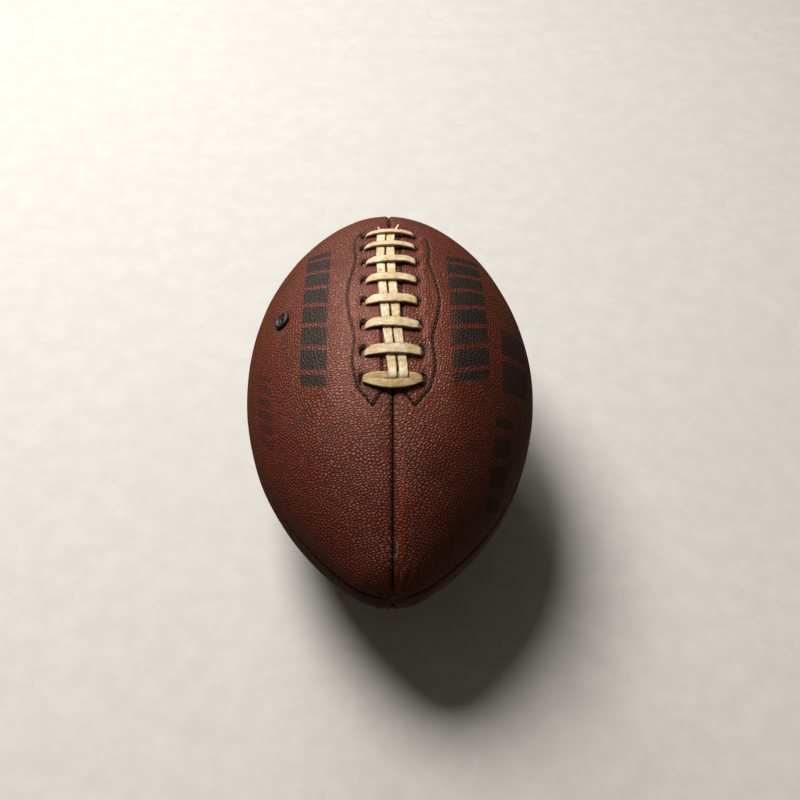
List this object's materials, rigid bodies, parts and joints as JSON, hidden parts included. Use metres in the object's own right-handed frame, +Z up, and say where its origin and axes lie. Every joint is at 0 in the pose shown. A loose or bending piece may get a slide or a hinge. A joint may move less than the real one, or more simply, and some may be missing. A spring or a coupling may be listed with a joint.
{
  "type": "american football",
  "caption": "Laced four-panel leather American football with an inflated bladder, lace row and inflation valve.",
  "frame": {"origin": "centre of the ball", "axes": "+Y along the long axis from point to point, +Z up through the laces, +X to the right"},
  "size_m": [0.1708, 0.285, 0.1739],
  "materials": {
    "panel_leather": "pebbled, worn",
    "lining_fabric": "matte",
    "facing_leather": "matte",
    "black_thread": "matte",
    "seam_thread": "waxed",
    "lace": "worn satin",
    "tongue": "matte",
    "bladder": "satin",
    "valve_patch": "matte",
    "valve_rubber": "satin"
  },
  "bodies": {
    "root": {"left_lace_panel": "panel_leather", "right_lace_panel": "panel_leather", "left_base_panel": "panel_leather", "right_base_panel": "panel_leather", "left_lace_lining": "lining_fabric", "right_lace_lining": "lining_fabric", "left_base_lining": "lining_fabric", "right_base_lining": "lining_fabric", "left_lace_facing": "facing_leather", "right_lace_facing": "facing_leather", "left_facing_stitching": "black_thread", "right_facing_stitching": "black_thread", "top_seam_thread": "seam_thread", "left_seam_thread": "seam_thread", "right_seam_thread": "seam_thread", "bottom_seam_thread": "seam_thread", "lace": "lace", "lace_tongue": "tongue", "bladder": "bladder", "valve_patch": "valve_patch", "valve_housing": "valve_rubber", "valve_core": "valve_rubber"}
  },
  "joints": []
}
